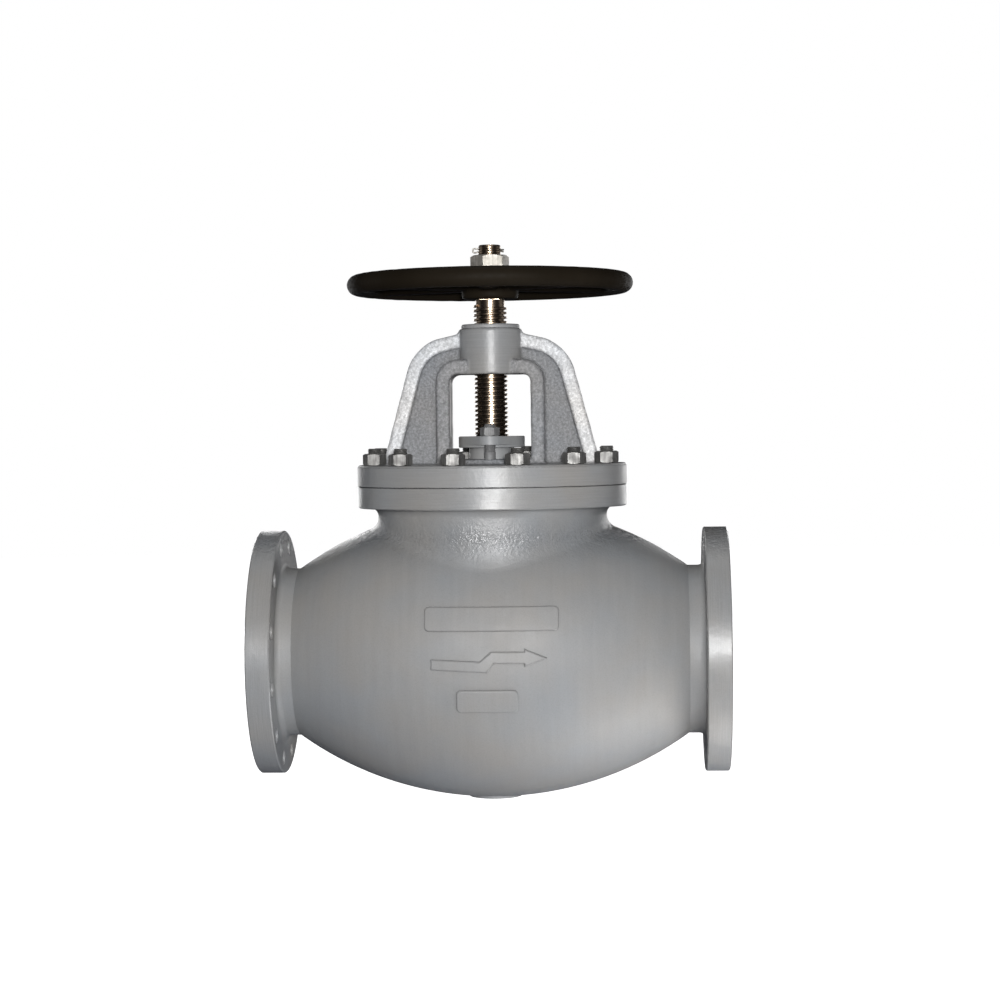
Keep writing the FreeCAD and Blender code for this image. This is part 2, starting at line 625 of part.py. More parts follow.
def split_pin():
    """Wire pin through the stem end: an eye on the left, two bent legs on the right."""
    reach = STEM_END_R + 1.5
    wire_r = PIN_R * 0.65
    eye_r = 4.5
    leg_length = 12.0
    shank = Part.makeCylinder(PIN_R, 2 * reach, V(-reach, 0, PIN_Z), X)
    eye = Part.makeTorus(eye_r, wire_r, V(1 - reach - eye_r, 0, PIN_Z), Y)
    legs = [Part.makeCylinder(wire_r, leg_length, V(reach - 1, 0, PIN_Z), V(0.4, side, -0.2))
            for side in (-1, 1)]
    return shank.fuse([eye] + legs)


WHEEL_TOP = WHEEL_HUB_Z1
NUT_Z0 = WHEEL_TOP + WASHER_T
wheel_nut = nut(WHEEL_NUT_S, WHEEL_NUT_H, STEM_END_R, 13)
wheel_nut.translate(V(0, 0, NUT_Z0))
bonnet_nut = nut(BONNET_NUT_S, BONNET_NUT_H, BONNET_STUD_R)
bonnet_nut.translate(V(0, 0, BONNET_Z1))
gland_nut = nut(GLAND_NUT_S, GLAND_NUT_H, GLAND_STUD_R)
gland_nut.translate(V(0, 0, GLAND_Z1))
bonnet_places = list(on_circle(BONNET_PCD_R, BONNET_BOLTS, 15))
gland_places = [(0, -GLAND_STUD_Y), (0, GLAND_STUD_Y)]

save("body_casting", body_casting())
save("seat_ring", turned((BORE / 2, SEAT_Z0), (SEAT_R, SEAT_Z0), (SEAT_R, SEAT_Z1 - 1),
                         (SEAT_R - 1, SEAT_Z1), (BORE / 2 + 1, SEAT_Z1), (BORE / 2, SEAT_Z1 - 1)))
save("bonnet_gasket", ring(NECK_BORE_R + 1, GASKET_R, GASKET_Z0, BONNET_Z0))
save("bonnet_casting", bonnet_casting())
save("bonnet_studs", copies(stud(BONNET_STUD_R, BONNET_STUD_Z0, BONNET_STUD_Z1), bonnet_places))
save("bonnet_nuts", copies(bonnet_nut, bonnet_places))
save("back_seat_bush", back_seat_bush())
save("packing_seat_ring", ring(STEM_R + RUNNING_GAP, BOX_R, BACK_SEAT_Z1, SEAT_RING_Z1))
save("packing_rings", packing_rings())
save("packing_gland", packing_gland())
save("gland_studs", copies(stud(GLAND_STUD_R, GLAND_STUD_Z0, GLAND_STUD_Z1), gland_places))
save("gland_nuts", copies(gland_nut, gland_places))
save("yoke_bush", yoke_bush())
save("bush_lock_screw", lock_screw())
save("disc", disc())
save("disc_nut", disc_nut())
save("disc_nut_lock_screw", disc_socket_screw())
save("thrust_pad", cyl(PAD_R, PAD_Z0, STEM_Z0 - 0.1))
save("stem", stem())
save("handwheel", handwheel())
save("handwheel_washer", ring(STEM_END_R + 0.7, WASHER_R, WHEEL_TOP, NUT_Z0, 0.5))
save("handwheel_nut", wheel_nut)
save("split_pin", split_pin())
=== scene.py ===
import json
import math

import bmesh
import bpy
from mathutils import Matrix, Vector, noise as lattice


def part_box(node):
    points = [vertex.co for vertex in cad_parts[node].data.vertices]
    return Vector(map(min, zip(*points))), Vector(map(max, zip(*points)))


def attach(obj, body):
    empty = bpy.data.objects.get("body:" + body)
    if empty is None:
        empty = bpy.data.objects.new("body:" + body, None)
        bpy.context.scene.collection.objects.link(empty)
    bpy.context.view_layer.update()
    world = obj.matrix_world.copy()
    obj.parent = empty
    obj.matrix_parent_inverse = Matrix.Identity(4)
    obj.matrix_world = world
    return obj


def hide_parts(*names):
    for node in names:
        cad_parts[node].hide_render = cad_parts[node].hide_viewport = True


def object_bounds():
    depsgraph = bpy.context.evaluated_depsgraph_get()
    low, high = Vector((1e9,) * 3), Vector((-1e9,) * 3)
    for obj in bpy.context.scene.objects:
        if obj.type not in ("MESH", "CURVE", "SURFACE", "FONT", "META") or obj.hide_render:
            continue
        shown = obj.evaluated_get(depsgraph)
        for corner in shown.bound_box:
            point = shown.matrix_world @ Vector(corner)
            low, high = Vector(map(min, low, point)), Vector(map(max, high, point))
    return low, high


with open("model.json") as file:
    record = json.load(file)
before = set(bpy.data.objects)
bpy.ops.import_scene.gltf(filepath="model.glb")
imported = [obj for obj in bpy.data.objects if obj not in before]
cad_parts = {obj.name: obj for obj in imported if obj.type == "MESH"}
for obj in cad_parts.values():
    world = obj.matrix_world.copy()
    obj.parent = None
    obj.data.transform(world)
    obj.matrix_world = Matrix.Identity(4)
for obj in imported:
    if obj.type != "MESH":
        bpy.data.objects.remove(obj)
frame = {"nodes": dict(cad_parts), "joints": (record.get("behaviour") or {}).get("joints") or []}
cad_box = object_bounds()
nodes = frame["nodes"]
STEM_X = frame["joints"][1]["pos_m"][0]
BONNET_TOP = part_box("bonnet_nuts")[0].z

# Lengths in metres. FROM and TO bound a zone of a mask, R is a distance from the stem axis,
# JOINT_DROP and BOSS_RISE are measured from BONNET_TOP.
FLANGE_T = 0.044
RIM_FROM = 0.16
JOINT_DROP = 0.0755
NECK_FROM = 0.155
BOSS_R = 0.0565
BOSS_RISE = 0.157
RIB_FROM = 0.0115
RIB_TO = 0.031
FRAME_FACE_FROM = 0.034
FRAME_FACE_TO = 0.05
PLATE_KEEP_R = 0.205
BORE_KEEP_R = 0.046
HUB_KEEP_R = 0.034
STEM_THREAD_R = 0.0203
FAR = 1.0
LUMPS_PER_METRE = 55.0


# ---- shader helpers ----
def add(tree, kind, links=None, **settings):
    """Add a shader node, set its properties, then link or set its inputs by name or number."""
    made = tree.nodes.new("ShaderNode" + kind)
    for key, value in settings.items():
        setattr(made, key, value)
    for key, value in (links or {}).items():
        if isinstance(value, bpy.types.NodeSocket):
            tree.links.new(value, made.inputs[key])
        else:
            made.inputs[key].default_value = value
    return made


def material(name):
    """New node material with an empty tree."""
    made = bpy.data.materials.new(name)
    made.use_nodes = True
    made.node_tree.nodes.clear()
    return made, made.node_tree


def ramp(tree, value, stops):
    """Colour ramp from (place, colour or grey) stops."""
    made = add(tree, "ValToRGB", {"Fac": value})
    elements = made.color_ramp.elements
    while len(elements) < len(stops):
        elements.new(0.5)
    for element, (place, shade) in zip(elements, stops):
        element.position = place
        element.color = (*shade, 1) if isinstance(shade, tuple) else (shade, shade, shade, 1)
    return made.outputs["Color"]


def noise(tree, where, scale, detail=4.0, rough=0.55):
    """Noise value; scale is in features per metre."""
    return add(tree, "TexNoise", {"Vector": where, "Scale": scale, "Detail": detail,
                                  "Roughness": rough}).outputs["Fac"]


def stretched(tree, where, scale):
    """Coordinates scaled per axis: a small scale draws the pattern out along that axis."""
    return add(tree, "Mapping", {"Vector": where, "Scale": scale}).outputs[0]


def maths(tree, operation, a, b=0.0, clamp=False):
    """Result of one arithmetic step on sockets or numbers."""
    return add(tree, "Math", {0: a, 1: b}, operation=operation, use_clamp=clamp).outputs[0]


def between(tree, value, low, high, soft=0.001):
    """1 where value lies between low and high, with soft edges."""
    enter = maths(tree, "DIVIDE", maths(tree, "SUBTRACT", value, low), soft, True)
    leave = maths(tree, "DIVIDE", maths(tree, "SUBTRACT", high, value), soft, True)
    return maths(tree, "MULTIPLY", enter, leave)


def mix(tree, factor, a, b, blend="MIX"):
    """Colour mix; a and b are sockets or rgb tuples."""
    made = add(tree, "Mix", {0: factor}, data_type="RGBA", blend_type=blend)
    for index, value in ((6, a), (7, b)):
        if isinstance(value, bpy.types.NodeSocket):
            tree.links.new(value, made.inputs[index])
        else:
            made.inputs[index].default_value = (*value, 1)
    return made.outputs[2]


def blend(tree, factor, a, b):
    """Number mix; a and b are sockets or numbers."""
    return add(tree, "Mix", {0: factor, 2: a, 3: b}).outputs[0]


def bump(tree, height, distance, strength=1.0, normal=None):
    """Normal bent by a height; distance is the depth in metres."""
    made = add(tree, "Bump", {"Height": height, "Distance": distance, "Strength": strength})
    if normal is not None:
        tree.links.new(normal, made.inputs["Normal"])
    return made.outputs["Normal"]


def crevices(tree, reach):
    """Ambient occlusion for painted shade: 1 in the open, towards 0 in inside corners."""
    shade = add(tree, "AmbientOcclusion", {"Distance": reach}, samples=4, only_local=True)
    return shade.outputs["AO"]


def edge_mask(tree, radius, gain):
    """1 on sharp edges, 0 on flat faces."""
    rounded = add(tree, "Bevel", {"Radius": radius}, samples=4).outputs["Normal"]
    flat = add(tree, "NewGeometry").outputs["Normal"]
    across = add(tree, "VectorMath", {0: rounded, 1: flat}, operation="DOT_PRODUCT")
    away = maths(tree, "SUBTRACT", 1.0, across.outputs["Value"])
    return maths(tree, "MULTIPLY", away, gain, clamp=True)


def finish_surface(tree, **inputs):
    """Principled shader to the output; inputs are named with underscores for spaces."""
    shader = add(tree, "BsdfPrincipled", {k.replace("_", " "): v for k, v in inputs.items()})
    output = add(tree, "OutputMaterial")
    tree.links.new(shader.outputs[0], output.inputs["Surface"])


class Place:
    """Object coordinates about the stem axis, with the distances that the masks need."""

    def __init__(self, tree):
        self.point = add(tree, "TexCoord").outputs["Object"]
        centred = add(tree, "VectorMath", {0: self.point, 1: (STEM_X, 0.0, 0.0)},
                      operation="SUBTRACT").outputs[0]
        x, y, self.z = add(tree, "SeparateXYZ", {0: centred}).outputs
        self.out = maths(tree, "ABSOLUTE", x)
        self.side = maths(tree, "ABSOLUTE", y)
        self.from_stem = maths(tree, "SQRT", maths(tree, "ADD", maths(tree, "MULTIPLY", x, x),
                                                   maths(tree, "MULTIPLY", y, y)))
        across = maths(tree, "ADD", maths(tree, "MULTIPLY", y, y),
                       maths(tree, "MULTIPLY", self.z, self.z))
        self.from_pipe = maths(tree, "SQRT", across)


# ---- materials ----
def paint_colour(tree, place, tone, sand):
    """Grey satin paint: cloudy tone, grain of the sand casting, painted shade darkening the
    corners.
    """
    clouds = ramp(tree, noise(tree, place.point, 6.0, 3.0), ((0.35, 0.0), (0.65, 1.0)))
    colour = mix(tree, clouds, tuple(tone * c for c in (0.97, 1.0, 1.03)),
                 tuple(tone * c for c in (1.03, 1.0, 0.96)))
    grain = ramp(tree, noise(tree, place.point, 420.0, 5.0, 0.65), ((0.25, 0.72), (0.5, 1.0),
                                                                  (0.8, 1.12)))
    colour = mix(tree, sand, colour, grain, "MULTIPLY")
    # Painted shade: ambient occlusion darkens the paint colour in corners and recesses.
    corner_shade = ramp(tree, crevices(tree, 0.014), ((0.35, 0.45), (0.85, 1.0)))
    return mix(tree, 0.8, colour, corner_shade, "MULTIPLY")


def body_paint():
    """Body: spray-painted barrel, rough cast neck, machined and painted flange rims."""
    made, tree = material("paint_body")
    place = Place(tree)
    end_flange = between(tree, place.out, STEM_X - FLANGE_T - 0.001, FAR)
    rim = maths(tree, "MULTIPLY", end_flange, between(tree, place.from_pipe, RIM_FROM, FAR, 0.01))
    joint = between(tree, place.z, BONNET_TOP - JOINT_DROP, FAR)
    cast_neck = between(tree, place.z, NECK_FROM, BONNET_TOP - JOINT_DROP + 0.0005, 0.05)
    turned = noise(tree, stretched(tree, place.point, (1.0, 0.02, 0.02)), 700.0, 3.0)
    faced = noise(tree, stretched(tree, place.point, (0.02, 0.02, 1.0)), 700.0, 3.0)
    strokes = noise(tree, stretched(tree, place.point, (1.0, 0.08, 0.08)), 90.0, 3.0)
    lines = blend(tree, rim, blend(tree, joint, strokes, faced), turned)
    colour = paint_colour(tree, place, 0.245, blend(tree, cast_neck, 0.35, 0.9))
    # Painted shade: the cast neck's colour is darkened and cooled, as it looks in shade.
    neck_shade = maths(tree, "MULTIPLY", cast_neck, 0.2)
    colour = mix(tree, neck_shade, colour, (0.55, 0.57, 0.6), "MULTIPLY")
    line_depth = blend(tree, maths(tree, "MAXIMUM", rim, joint), 0.3, 0.7)
    colour = mix(tree, line_depth, colour, ramp(tree, lines, ((0.3, 0.88), (0.7, 1.08))),
                 "MULTIPLY")
    smudges = noise(tree, place.point, 30.0, 4.0)
    barrel_gloss = ramp(tree, smudges, ((0.3, 0.5), (0.7, 0.6)))
    rim_gloss = ramp(tree, smudges, ((0.3, 0.31), (0.7, 0.39)))
    neck_gloss = ramp(tree, smudges, ((0.3, 0.17), (0.7, 0.3)))
    gloss = blend(tree, maths(tree, "MAXIMUM", rim, joint), barrel_gloss, rim_gloss)
    gloss = blend(tree, cast_neck, gloss, neck_gloss)
    knobs = noise(tree, place.point, 150.0, 3.0, 0.6)
    sand = noise(tree, place.point, 600.0, 3.0)
    swell = noise(tree, place.point, 28.0, 2.0)
    surface = bump(tree, swell, 0.0016, 0.4)
    surface = bump(tree, knobs, 0.0028, blend(tree, cast_neck, 0.055, 0.8), surface)
    surface = bump(tree, sand, 0.0004, blend(tree, cast_neck, 0.4, 0.5), surface)
    surface = bump(tree, lines, 0.0002, line_depth, surface)
    finish_surface(tree, Base_Color=colour, Roughness=gloss, Normal=surface)
    return made


def bonnet_paint():
    """Bonnet: machined plate rim and boss, smooth inner frame, rough outer ribs with a painted
    highlight and painted glints.
    """
    made, tree = material("paint_bonnet")
    place = Place(tree)
    plate = between(tree, place.z, 0.0, BONNET_TOP + 0.001)
    boss = maths(tree, "MULTIPLY", between(tree, place.from_stem, 0.0, BOSS_R),
                 between(tree, place.z, BONNET_TOP + BOSS_RISE, FAR))
    machined = maths(tree, "MAXIMUM", plate, boss)
    rib = maths(tree, "MULTIPLY", between(tree, place.side, RIB_FROM, RIB_TO, 0.003),
                maths(tree, "SUBTRACT", 1.0, machined))
    frame_face = between(tree, place.side, FRAME_FACE_FROM, FRAME_FACE_TO, 0.002)
    faced = noise(tree, stretched(tree, place.point, (0.02, 0.02, 1.0)), 700.0, 3.0)
    knobs = noise(tree, place.point, 180.0, 3.0, 0.65)
    sand = noise(tree, place.point, 650.0, 3.0)
    # Mottled paint with painted glints: bright and dark specks in the colour of the ribs and frame.
    mottle_and_glints = ramp(tree, noise(tree, place.point, 230.0, 4.0, 0.7),
                   ((0.34, 0.66), (0.5, 0.97), (0.66, 1.4)))
    # Painted highlight: the outer ribs' colour is about twice as bright as the frame's, as if
    # catching the light.
    tone = mix(tree, rib, (0.84, 0.85, 0.88), (1.95, 1.95, 1.97))
    tone = mix(tree, 1.0, tone, mottle_and_glints, "MULTIPLY")
    colour = paint_colour(tree, place, 0.25, blend(tree, machined, 0.75, 0.2))
    colour = mix(tree, maths(tree, "SUBTRACT", 1.0, machined), colour, tone, "MULTIPLY")
    colour = mix(tree, maths(tree, "MULTIPLY", machined, 0.6), colour,
                 ramp(tree, faced, ((0.3, 0.88), (0.7, 1.08))), "MULTIPLY")
    smudges = noise(tree, place.point, 40.0, 4.0)
    gloss = blend(tree, rib, ramp(tree, smudges, ((0.3, 0.56), (0.7, 0.7))),
                  ramp(tree, smudges, ((0.3, 0.3), (0.7, 0.46))))
    gloss = blend(tree, machined, gloss, ramp(tree, smudges, ((0.3, 0.36), (0.7, 0.42))))
    rough = blend(tree, maths(tree, "MAXIMUM", machined, frame_face), 0.7, 0.12)
    surface = bump(tree, knobs, 0.0030, blend(tree, rib, rough, 0.3))
    surface = bump(tree, sand, 0.0005, blend(tree, rib, rough, 0.5), surface)
    surface = bump(tree, faced, 0.00015, maths(tree, "MULTIPLY", machined, 0.6), surface)
    finish_surface(tree, Base_Color=colour, Roughness=gloss, Normal=surface)
    return made


def small_paint():
    """Smooth grey paint of the gland and the bush."""
    made, tree = material("paint_gland")
    place = Place(tree)
    smudges = noise(tree, place.point, 60.0, 4.0)
    colour = paint_colour(tree, place, 0.26, 0.3)
    surface = bump(tree, noise(tree, place.point, 300.0, 4.0), 0.0004, 0.5)
    finish_surface(tree, Base_Color=colour, Normal=surface,
                   Roughness=ramp(tree, smudges, ((0.3, 0.42), (0.7, 0.55))))
    return made


def wheel_enamel():
    """Black-brown enamel over a casting, dull with handling."""
    made, tree = material("wheel_enamel")
    place = Place(tree)
    patches = noise(tree, place.point, 9.0, 3.0)
    peel = noise(tree, place.point, 160.0, 3.0)
    colour = ramp(tree, patches, ((0.3, (0.010, 0.0075, 0.0045)), (0.7, (0.015, 0.0115, 0.0075))))
    worn = edge_mask(tree, 0.0015, 3.0)
    chips = maths(tree, "MULTIPLY", worn, ramp(tree, peel, ((0.5, 0.0), (0.62, 0.3))))
    colour = mix(tree, chips, colour, (0.06, 0.055, 0.05))
    surface = bump(tree, noise(tree, place.point, 60.0, 3.0), 0.0008, 0.4)
    surface = bump(tree, peel, 0.0003, 0.4, surface)
    finish_surface(tree, Base_Color=colour, Normal=surface, Specular_IOR_Level=0.05,
                   Roughness=ramp(tree, peel, ((0.3, 0.52), (0.7, 0.64))))
    return made


def turned_metal(name, light, dark, low, high, ring_scale):
    """Lathe-turned metal with fine rings along Z; roughness runs from low to high in smudges."""
    made, tree = material(name)
    place = Place(tree)
    rings = noise(tree, stretched(tree, place.point, (0.02, 0.02, 1.0)), ring_scale, 3.0, 0.7)
    smudge = noise(tree, place.point, 45.0, 5.0, 0.65)
    colour = mix(tree, ramp(tree, smudge, ((0.35, 0.0), (0.7, 1.0))), light, dark)
    colour = mix(tree, 0.5, colour, ramp(tree, rings, ((0.3, 0.75), (0.7, 1.1))), "MULTIPLY")
    # Painted shade: ambient occlusion darkens the turned metal's colour in its inside corners.
    corner_shade = ramp(tree, crevices(tree, 0.006), ((0.3, 0.25), (0.8, 1.0)))
    colour = mix(tree, 0.9, colour, corner_shade, "MULTIPLY")
    surface = bump(tree, rings, 0.0002, 0.5)
    finish_surface(tree, Base_Color=colour, Metallic=1.0, Normal=surface,
                   Roughness=ramp(tree, smudge, ((0.3, low), (0.7, high))))
    return made


def plated_steel(name, light, dark, low, high, metallic=0.8):
    """Plated steel of nuts and studs, each a little different; roughness is from low to high."""
    made, tree = material(name)
    place = Place(tree)
    clouds = noise(tree, place.point, 70.0, 5.0, 0.6)
    pits = noise(tree, place.point, 900.0, 2.0)
    each = add(tree, "NewGeometry").outputs["Random Per Island"]
    colour = mix(tree, ramp(tree, clouds, ((0.35, 0.0), (0.7, 1.0))), light, dark)
    colour = mix(tree, 1.0, colour, ramp(tree, each, ((0.0, 0.62), (1.0, 1.0))), "MULTIPLY")
    rubbed = tuple(min(1.0, 1.5 * c) for c in light)
    colour = mix(tree, edge_mask(tree, 0.0007, 1.6), colour, rubbed)
    surface = bump(tree, pits, 0.00015, 0.4)
    finish_surface(tree, Base_Color=colour, Metallic=metallic, Normal=surface,
                   Roughness=ramp(tree, clouds, ((0.3, low), (0.7, high))))
    return made


def fibre(name, shade):
    """Dark packing and gasket material with crossed threads."""
    made, tree = material(name)
    place = Place(tree)
    weave = add(tree, "TexVoronoi", {"Vector": place.point, "Scale": 420.0}).outputs["Distance"]
    colour = mix(tree, weave, (1.3 * shade,) * 3, (shade,) * 3)
    surface = bump(tree, weave, 0.0004, 0.7)
    finish_surface(tree, Base_Color=colour, Roughness=0.75, Normal=surface)
    return made


BODY_PAINT = body_paint()
BONNET_PAINT = bonnet_paint()
GLAND_PAINT = small_paint()
ENAMEL = wheel_enamel()
STEM_METAL = turned_metal("stem_metal", (0.36, 0.285, 0.21), (0.15, 0.11, 0.08),
                          low=0.24, high=0.32, ring_scale=1500.0)
BRONZE = turned_metal("bronze", (0.62, 0.42, 0.20), (0.45, 0.30, 0.14),
                      low=0.3, high=0.45, ring_scale=1300.0)
STEEL = plated_steel("plated_steel", (0.29, 0.285, 0.275), (0.17, 0.165, 0.16),
                     low=0.5, high=0.64)
DULL_STEEL = plated_steel("dull_steel", (0.25, 0.25, 0.25), (0.17, 0.17, 0.175),
                          low=0.6, high=0.75, metallic=0.35)
BRIGHT_STEEL = plated_steel("bright_steel", (0.56, 0.53, 0.48), (0.34, 0.32, 0.28),
                            low=0.4, high=0.52)
PACKING = fibre("graphite_braid", 0.03)
GASKET = fibre("gasket_sheet", 0.05)


def dress(name, made):
    """Give a CAD node its material."""
    mesh = nodes[name].data
    mesh.materials.clear()
    mesh.materials.append(made)


dress("body_casting", BODY_PAINT)
dress("bonnet_casting", BONNET_PAINT)
dress("packing_gland", GLAND_PAINT)
dress("yoke_bush", GLAND_PAINT)
dress("bonnet_gasket", GASKET)
dress("packing_rings", PACKING)
for name in ("seat_ring", "back_seat_bush", "packing_seat_ring", "disc", "disc_nut"):
    dress(name, BRONZE)
for name in ("bonnet_studs", "bonnet_nuts", "bush_lock_screw", "disc_nut_lock_screw",
             "thrust_pad"):
    dress(name, STEEL)
for name in ("gland_studs", "gland_nuts"):
    dress(name, DULL_STEEL)
for name in ("handwheel_nut", "handwheel_washer", "split_pin"):
    dress(name, BRIGHT_STEEL)
dress("stem", STEM_METAL)
dress("handwheel", ENAMEL)


# ---- pieces ----
def copy_of(node):
    """Welded bmesh with a CAD node's shape."""
    shape = bmesh.new()
    shape.from_mesh(nodes[node].data)
    bmesh.ops.remove_doubles(shape, verts=shape.verts, dist=1e-6)
    return shape


def cut_level(shape, z, keep_above):
    """Cut a closed shape at height z and close the cut."""
    cut = bmesh.ops.bisect_plane(shape, geom=shape.verts[:] + shape.edges[:] + shape.faces[:],
                                 dist=1e-7, plane_co=(0, 0, z), plane_no=(0, 0, 1),
                                 clear_inner=keep_above, clear_outer=not keep_above)
    rim = [e for e in cut["geom_cut"] if isinstance(e, bmesh.types.BMEdge)]
    bmesh.ops.triangle_fill(shape, edges=rim, use_beauty=True)


def to_object(shape, name, made):
    """Turn a bmesh into a linked object with one material."""
    mesh = bpy.data.meshes.new(name)
    shape.to_mesh(mesh)
    shape.free()
    mesh.materials.append(made)
    piece = bpy.data.objects.new(name, mesh)
    bpy.context.scene.collection.objects.link(piece)
    return piece


def apply_modifiers(piece):
    """Bake the modifiers into the mesh."""
    graph = bpy.context.evaluated_depsgraph_get()
    baked = bpy.data.meshes.new_from_object(piece.evaluated_get(graph))
    piece.modifiers.clear()
    piece.data = baked


def cast_skin(piece, voxel, passes, lump, keep, faces_kept):
    """Rebuild a sharp shape as a casting: soft inside and outside corners and a slight lumpiness.

    keep(point) is 0 where the shape may soften and 1 where it must stay as it is.
    """
    remesh = piece.modifiers.new("skin", "REMESH")
    remesh.mode = "VOXEL"
    remesh.voxel_size = voxel
    apply_modifiers(piece)
    group = piece.vertex_groups.new(name="soft")
    for vertex in piece.data.vertices:
        group.add([vertex.index], 1.0 - keep(vertex.co), "REPLACE")
    smooth = piece.modifiers.new("smooth", "SMOOTH")
    smooth.iterations = passes
    smooth.factor = 0.5
    smooth.vertex_group = "soft"
    thin = piece.modifiers.new("thin", "DECIMATE")
    thin.ratio = faces_kept
    apply_modifiers(piece)
    offsets = [v.normal * lattice.noise(v.co * LUMPS_PER_METRE) * lump * (1.0 - keep(v.co))
               for v in piece.data.vertices]
    for vertex, offset in zip(piece.data.vertices, offsets):
        vertex.co += offset
    piece.data.shade_smooth()


def join(pieces):
    """Merge the meshes of several objects into the first."""
    shape = bmesh.new()
    for piece in pieces:
        shape.from_mesh(piece.data)
    shape.to_mesh(pieces[0].data)
    shape.free()
    for piece in pieces[1:]:
        bpy.data.objects.remove(piece)


def make_bonnet():
    """Bonnet whose machined plate stays sharp and whose yoke gets the soft corners of a casting."""
    seam = BONNET_TOP - 0.004
    yoke = copy_of("bonnet_casting")
    cut_level(yoke, seam, keep_above=True)
    yoke = to_object(yoke, "bonnet", BONNET_PAINT)
    boss_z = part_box("yoke_bush")[0].z

    def keep(point):
        radius = math.hypot(point.x - STEM_X, point.y)
        if radius > PLATE_KEEP_R or point.z < BONNET_TOP - 0.0015:
            return 1.0
        if radius < BORE_KEEP_R or (radius < BOSS_R + 0.0005 and point.z > boss_z + 0.01):
            return 0.8
        return 0.0

    cast_skin(yoke, voxel=0.002, passes=14, lump=0.0004, keep=keep, faces_kept=0.45)
    plate = copy_of("bonnet_casting")
    cut_level(plate, seam, keep_above=False)
    plate = to_object(plate, "bonnet_plate", BONNET_PAINT)
    sharpen(plate)
    join([yoke, plate])
    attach(yoke, "valve_body")
    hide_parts("bonnet_casting")


def make_handwheel():
    """Handwheel with cast blends where the arms meet the rim and the hub."""
    wheel = to_object(copy_of("handwheel"), "handwheel_cast", ENAMEL)

    def keep(point):
        return 0.85 if math.hypot(point.x - STEM_X, point.y) < HUB_KEEP_R else 0.0

    cast_skin(wheel, voxel=0.0022, passes=12, lump=0.0003, keep=keep, faces_kept=0.5)
    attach(wheel, "stem_assembly")
    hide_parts("handwheel")


def make_split_pin():
    """Folded wire with its eye on the left and its two legs bent apart on the right."""
    low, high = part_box("split_pin")
    middle = (low.z + high.z) / 2
    wire = 0.0014
    left = low.x + wire
    right = high.x - wire
    near = right - 0.008
    bend = right - 0.0035
    eye = 0.0036
    eye_x = left + 0.006
    neck_x = left + 0.011
    route = ((right, 0.0062, 0.0015), (bend, 0.0035, wire), (near, 0.0, wire),
             (STEM_X, 0.0, wire), (neck_x, 0.0, wire), (eye_x, 0.0, eye), (left, 0.0, eye),
             (left, 0.0, -eye), (eye_x, 0.0, -eye), (neck_x, 0.0, -wire),
             (STEM_X, 0.0, -wire), (near, 0.0, -wire), (bend, -0.0035, -wire),
             (right, -0.0062, -0.003))
    curve = bpy.data.curves.new("split_pin_wire", "CURVE")
    curve.dimensions = "3D"
    curve.bevel_depth = wire
    curve.bevel_resolution = 4
    curve.resolution_u = 8
    curve.use_fill_caps = True
    spline = curve.splines.new("NURBS")
    spline.points.add(len(route) - 1)
    for point, (x, y, z) in zip(spline.points, route):
        point.co = (x, y, middle + z, 1)
    spline.order_u = 3
    spline.use_endpoint_u = True
    curve.materials.append(BRIGHT_STEEL)
    pin = bpy.data.objects.new("split_pin_wire", curve)
    bpy.context.scene.collection.objects.link(pin)
    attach(pin, "stem_assembly")
    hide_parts("split_pin")


def boxes_of(node):
    """Low and high corner of each separate solid of a CAD node, in a fixed order."""
    shape = copy_of(node)
    left = set(shape.verts)
    boxes = []
    while left:
        queue = [left.pop()]
        found = []
        while queue:
            vert = queue.pop()
            found.append(vert.co.copy())
            for edge in vert.link_edges:
                other = edge.other_vert(vert)
                if other in left:
                    left.remove(other)
                    queue.append(other)
        boxes.append([Vector([pick(co[i] for co in found) for i in range(3)])
                      for pick in (min, max)])
    shape.free()
    return sorted(boxes, key=lambda box: (round(box[0].x, 5), round(box[0].y, 5)))


def add_rod(shape, low, high, start, pitch):
    """Add an upright rod that fills the box low..high, with a right-hand thread above start."""
    segments = 40
    rows_per_turn = 6
    chamfer = 0.002
    depth = 0.54 * pitch
    crest = 0.12
    steepness = 1.25
    middle = (low + high) / 2
    radius = (high.x - low.x) / 2
    rows = math.ceil((high.z - start) / pitch * rows_per_turn)
    levels = [low.z, low.z + chamfer]
    levels += [start + (high.z - start) * i / rows for i in range(rows + 1)]
    rings = []
    for z in levels:
        limit = radius - max(0.0, z - high.z + chamfer, low.z + chamfer - z)
        cut_in = depth * min(1.0, max(0.0, (z - start) / pitch))
        ring = []
        for i in range(segments):
            turn = i / segments
            flank = abs(2 * ((z / pitch - turn) % 1.0) - 1)
            groove = cut_in * min(1.0, max(0.0, steepness * flank - crest))
            reach = min(limit, radius - groove)
            angle = math.tau * turn
            ring.append(shape.verts.new((middle.x + reach * math.cos(angle),
                                         middle.y + reach * math.sin(angle), z)))
        rings.append(ring)
    for under, over in zip(rings, rings[1:]):
        for i in range(segments):
            j = (i + 1) % segments
            shape.faces.new((under[i], under[j], over[j], over[i]))
    shape.faces.new(rings[0][::-1])
    shape.faces.new(rings[-1])


def sharpen(piece):
    """Smooth shading that keeps the edges over 30 degrees."""
    piece.data.shade_smooth()
    piece.data.set_sharp_from_angle(angle=math.radians(30))


def make_studs(node, name, made, pitch, length):
    """Studs of a CAD node with a real thread on their top ends."""
    shape = bmesh.new()
    for low, high in boxes_of(node):
        add_rod(shape, low, high, start=high.z - length, pitch=pitch)
    studs = to_object(shape, name, made)
    sharpen(studs)
    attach(studs, "valve_body")
    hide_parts(node)


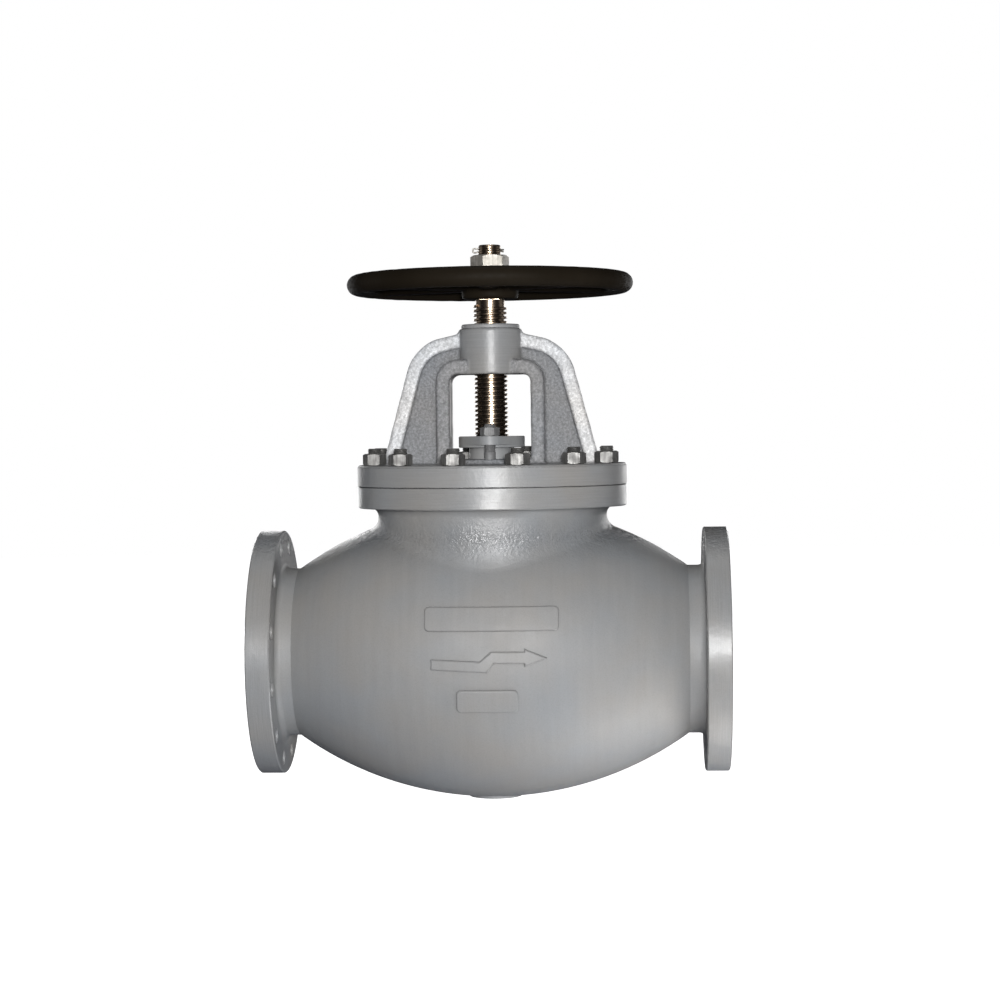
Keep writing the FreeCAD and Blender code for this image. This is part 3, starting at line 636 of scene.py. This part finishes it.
def make_stem_end():
    """Thread standing out of the plain stem end above the handwheel nut."""
    nut_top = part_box("handwheel_nut")[1].z
    stem_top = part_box("stem")[1].z
    low = Vector((STEM_X - STEM_THREAD_R, -STEM_THREAD_R, nut_top - 0.001))
    high = Vector((STEM_X + STEM_THREAD_R, STEM_THREAD_R, stem_top - 0.0005))
    shape = bmesh.new()
    add_rod(shape, low, high, start=low.z + 0.0005, pitch=0.004)
    end = to_object(shape, "stem_end_thread", STEM_METAL)
    sharpen(end)
    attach(end, "stem_assembly")


make_bonnet()
make_handwheel()
make_split_pin()
make_studs("bonnet_studs", "bonnet_studs_threaded", STEEL, pitch=0.003, length=0.014)
make_studs("gland_studs", "gland_studs_threaded", DULL_STEEL, pitch=0.0025, length=0.05)
make_stem_end()


# ---- stage ----
def floor_material():
    """Glowing white ground that is clear from below."""
    made, tree = material("pale_floor")
    where = add(tree, "TexCoord").outputs["Object"]
    shade = ramp(tree, noise(tree, where, 3.0), ((0.0, 0.86), (1.0, 0.9)))
    paper = add(tree, "BsdfDiffuse", {"Color": shade})
    glow = add(tree, "Emission", {"Color": (1, 1, 1, 1), "Strength": 1.1})
    both = add(tree, "AddShader", {0: paper.outputs[0], 1: glow.outputs[0]})
    below = add(tree, "NewGeometry").outputs["Backfacing"]
    clear = add(tree, "BsdfTransparent")
    seen = add(tree, "MixShader", {0: below, 1: both.outputs[0], 2: clear.outputs[0]})
    output = add(tree, "OutputMaterial")
    tree.links.new(seen.outputs[0], output.inputs["Surface"])
    return made


def make_floor(z, radius):
    """Large pale disc under the object, clear from below."""
    shape = bmesh.new()
    bmesh.ops.create_circle(shape, cap_ends=True, segments=96, radius=radius)
    floor = to_object(shape, "floor", floor_material())
    floor.location = (STEM_X, 0, z)
    floor.visible_diffuse = False
    floor.visible_glossy = False
    floor.visible_shadow = False


def area_light(name, place, target, size, power):
    """Round white light of a diameter in metres and a power in watts, aimed at a point."""
    light = bpy.data.lights.new(name, "AREA")
    light.shape = "DISK"
    light.size = size
    light.energy = power
    holder = bpy.data.objects.new(name, light)
    holder.location = place
    direction = Vector(target) - Vector(place)
    holder.rotation_euler = direction.to_track_quat("-Z", "Y").to_euler()
    bpy.context.scene.collection.objects.link(holder)


def make_world():
    """White surroundings for the eye, dim and slightly cool for lighting."""
    world = bpy.data.worlds.new("studio")
    world.use_nodes = True
    tree = world.node_tree
    tree.nodes.clear()
    seen = add(tree, "LightPath").outputs["Is Camera Ray"]
    up = add(tree, "SeparateXYZ", {0: add(tree, "TexCoord").outputs["Generated"]}).outputs["Z"]
    height = add(tree, "Math", {0: up, 1: 0.5, 2: 0.5}, operation="MULTIPLY_ADD").outputs[0]
    sky = ramp(tree, height, ((0.0, (0.07, 0.08, 0.11)), (0.5, (0.018, 0.019, 0.026)),
                              (1.0, (0.04, 0.04, 0.04))))
    shade = mix(tree, seen, sky, (1.0, 1.0, 1.0))
    light = add(tree, "Background", {"Color": shade, "Strength": 1.0})
    output = add(tree, "OutputWorld")
    tree.links.new(light.outputs[0], output.inputs["Surface"])
    bpy.context.scene.world = world


def make_camera():
    """Camera level with the gland nuts, a little to the outlet side, tilted down and rolled."""
    distance = 4.3476
    swing = math.radians(3.22)
    aim = swing - 0.00305
    tilt = math.radians(1.62)
    roll = math.radians(0.69)
    height = 0.3887
    place = Vector((STEM_X + distance * math.sin(swing), -distance * math.cos(swing), height))
    forward = Vector((-math.sin(aim) * math.cos(tilt), math.cos(aim) * math.cos(tilt),
                      -math.sin(tilt)))
    level = Vector((math.cos(aim), math.sin(aim), 0))
    upright = level.cross(forward)
    right = math.cos(roll) * level - math.sin(roll) * upright
    top = math.sin(roll) * level + math.cos(roll) * upright
    camera = bpy.data.cameras.new("camera")
    camera.sensor_width = 36.0
    camera.lens = 88.43
    holder = bpy.data.objects.new("camera", camera)
    turn = Matrix((right, top, -forward)).transposed()
    holder.matrix_world = Matrix.Translation(place) @ turn.to_4x4()
    bpy.context.scene.collection.objects.link(holder)
    bpy.context.scene.camera = holder


make_world()
make_camera()
make_floor(cad_box[0].z - 0.0005, radius=9.0)
AIM = (STEM_X, 0.0, 0.2)
area_light("key", (STEM_X + 0.32, -4.2, 0.52), AIM, size=0.25, power=195.0)
area_light("low_right", (STEM_X + 0.75, -0.3, -0.85), (STEM_X + 0.25, -0.05, 0.0),
           size=0.8, power=9.0)
area_light("top", (STEM_X, 0.4, 3.4), AIM, size=1.4, power=12.0)
for side in (-1, 1):
    area_light("side_light", (STEM_X + side * 3.0, 0.6, 0.5), AIM, size=2.2, power=6.0)
    area_light("back_light", (STEM_X + side * 1.6, 3.6, 0.7), AIM, size=1.6, power=24.0)
bpy.context.scene.view_settings.view_transform = "Standard"
